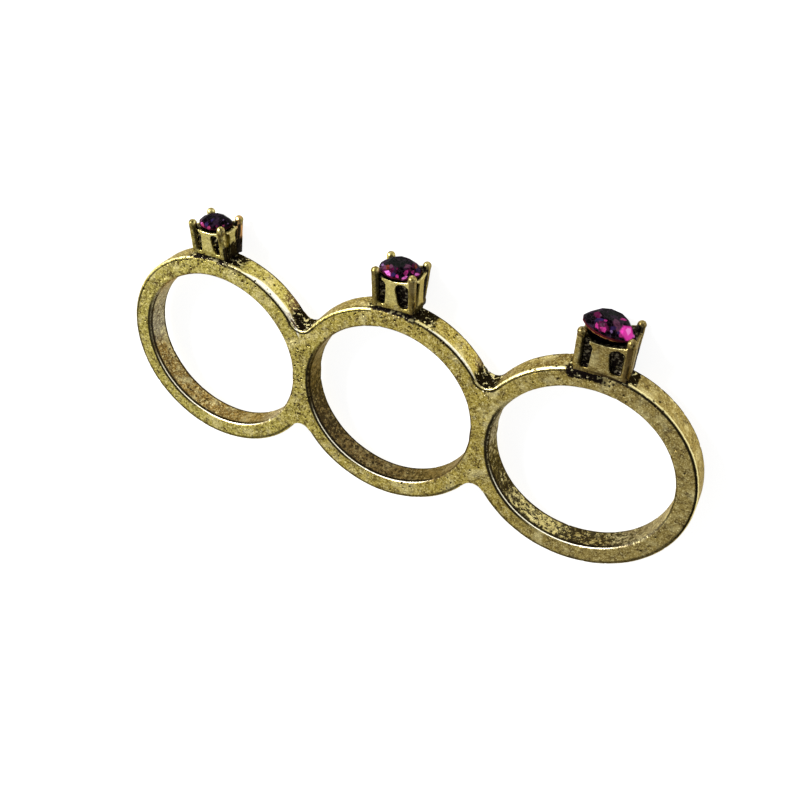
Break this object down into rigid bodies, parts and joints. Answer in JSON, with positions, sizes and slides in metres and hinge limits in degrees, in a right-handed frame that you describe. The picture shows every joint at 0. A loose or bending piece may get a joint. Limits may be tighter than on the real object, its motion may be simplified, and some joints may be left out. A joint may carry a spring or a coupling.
{
  "type": "three-finger ring",
  "caption": "Brass ring worn across neighbouring fingers: plain round bands joined in a row, each topped by a square claw cup that holds a round faceted purple stone.",
  "frame": {"origin": "centre of the middle finger bore, halfway through the band's width", "axes": "+X along the row of bands, +Y from the fingers towards the stones, +Z along the finger bores; the ring lies on its side"},
  "size_m": [0.0622, 0.0274, 0.005],
  "materials": {
    "metal": "antiqued cast brass, brushed, with dark tarnish in the hollows",
    "stone": "cut glass, deep fuchsia, foil backed"
  },
  "bodies": {
    "root": {"ring_body": "metal", "stone_left": "stone", "stone_middle": "stone", "stone_right": "stone"}
  },
  "joints": []
}
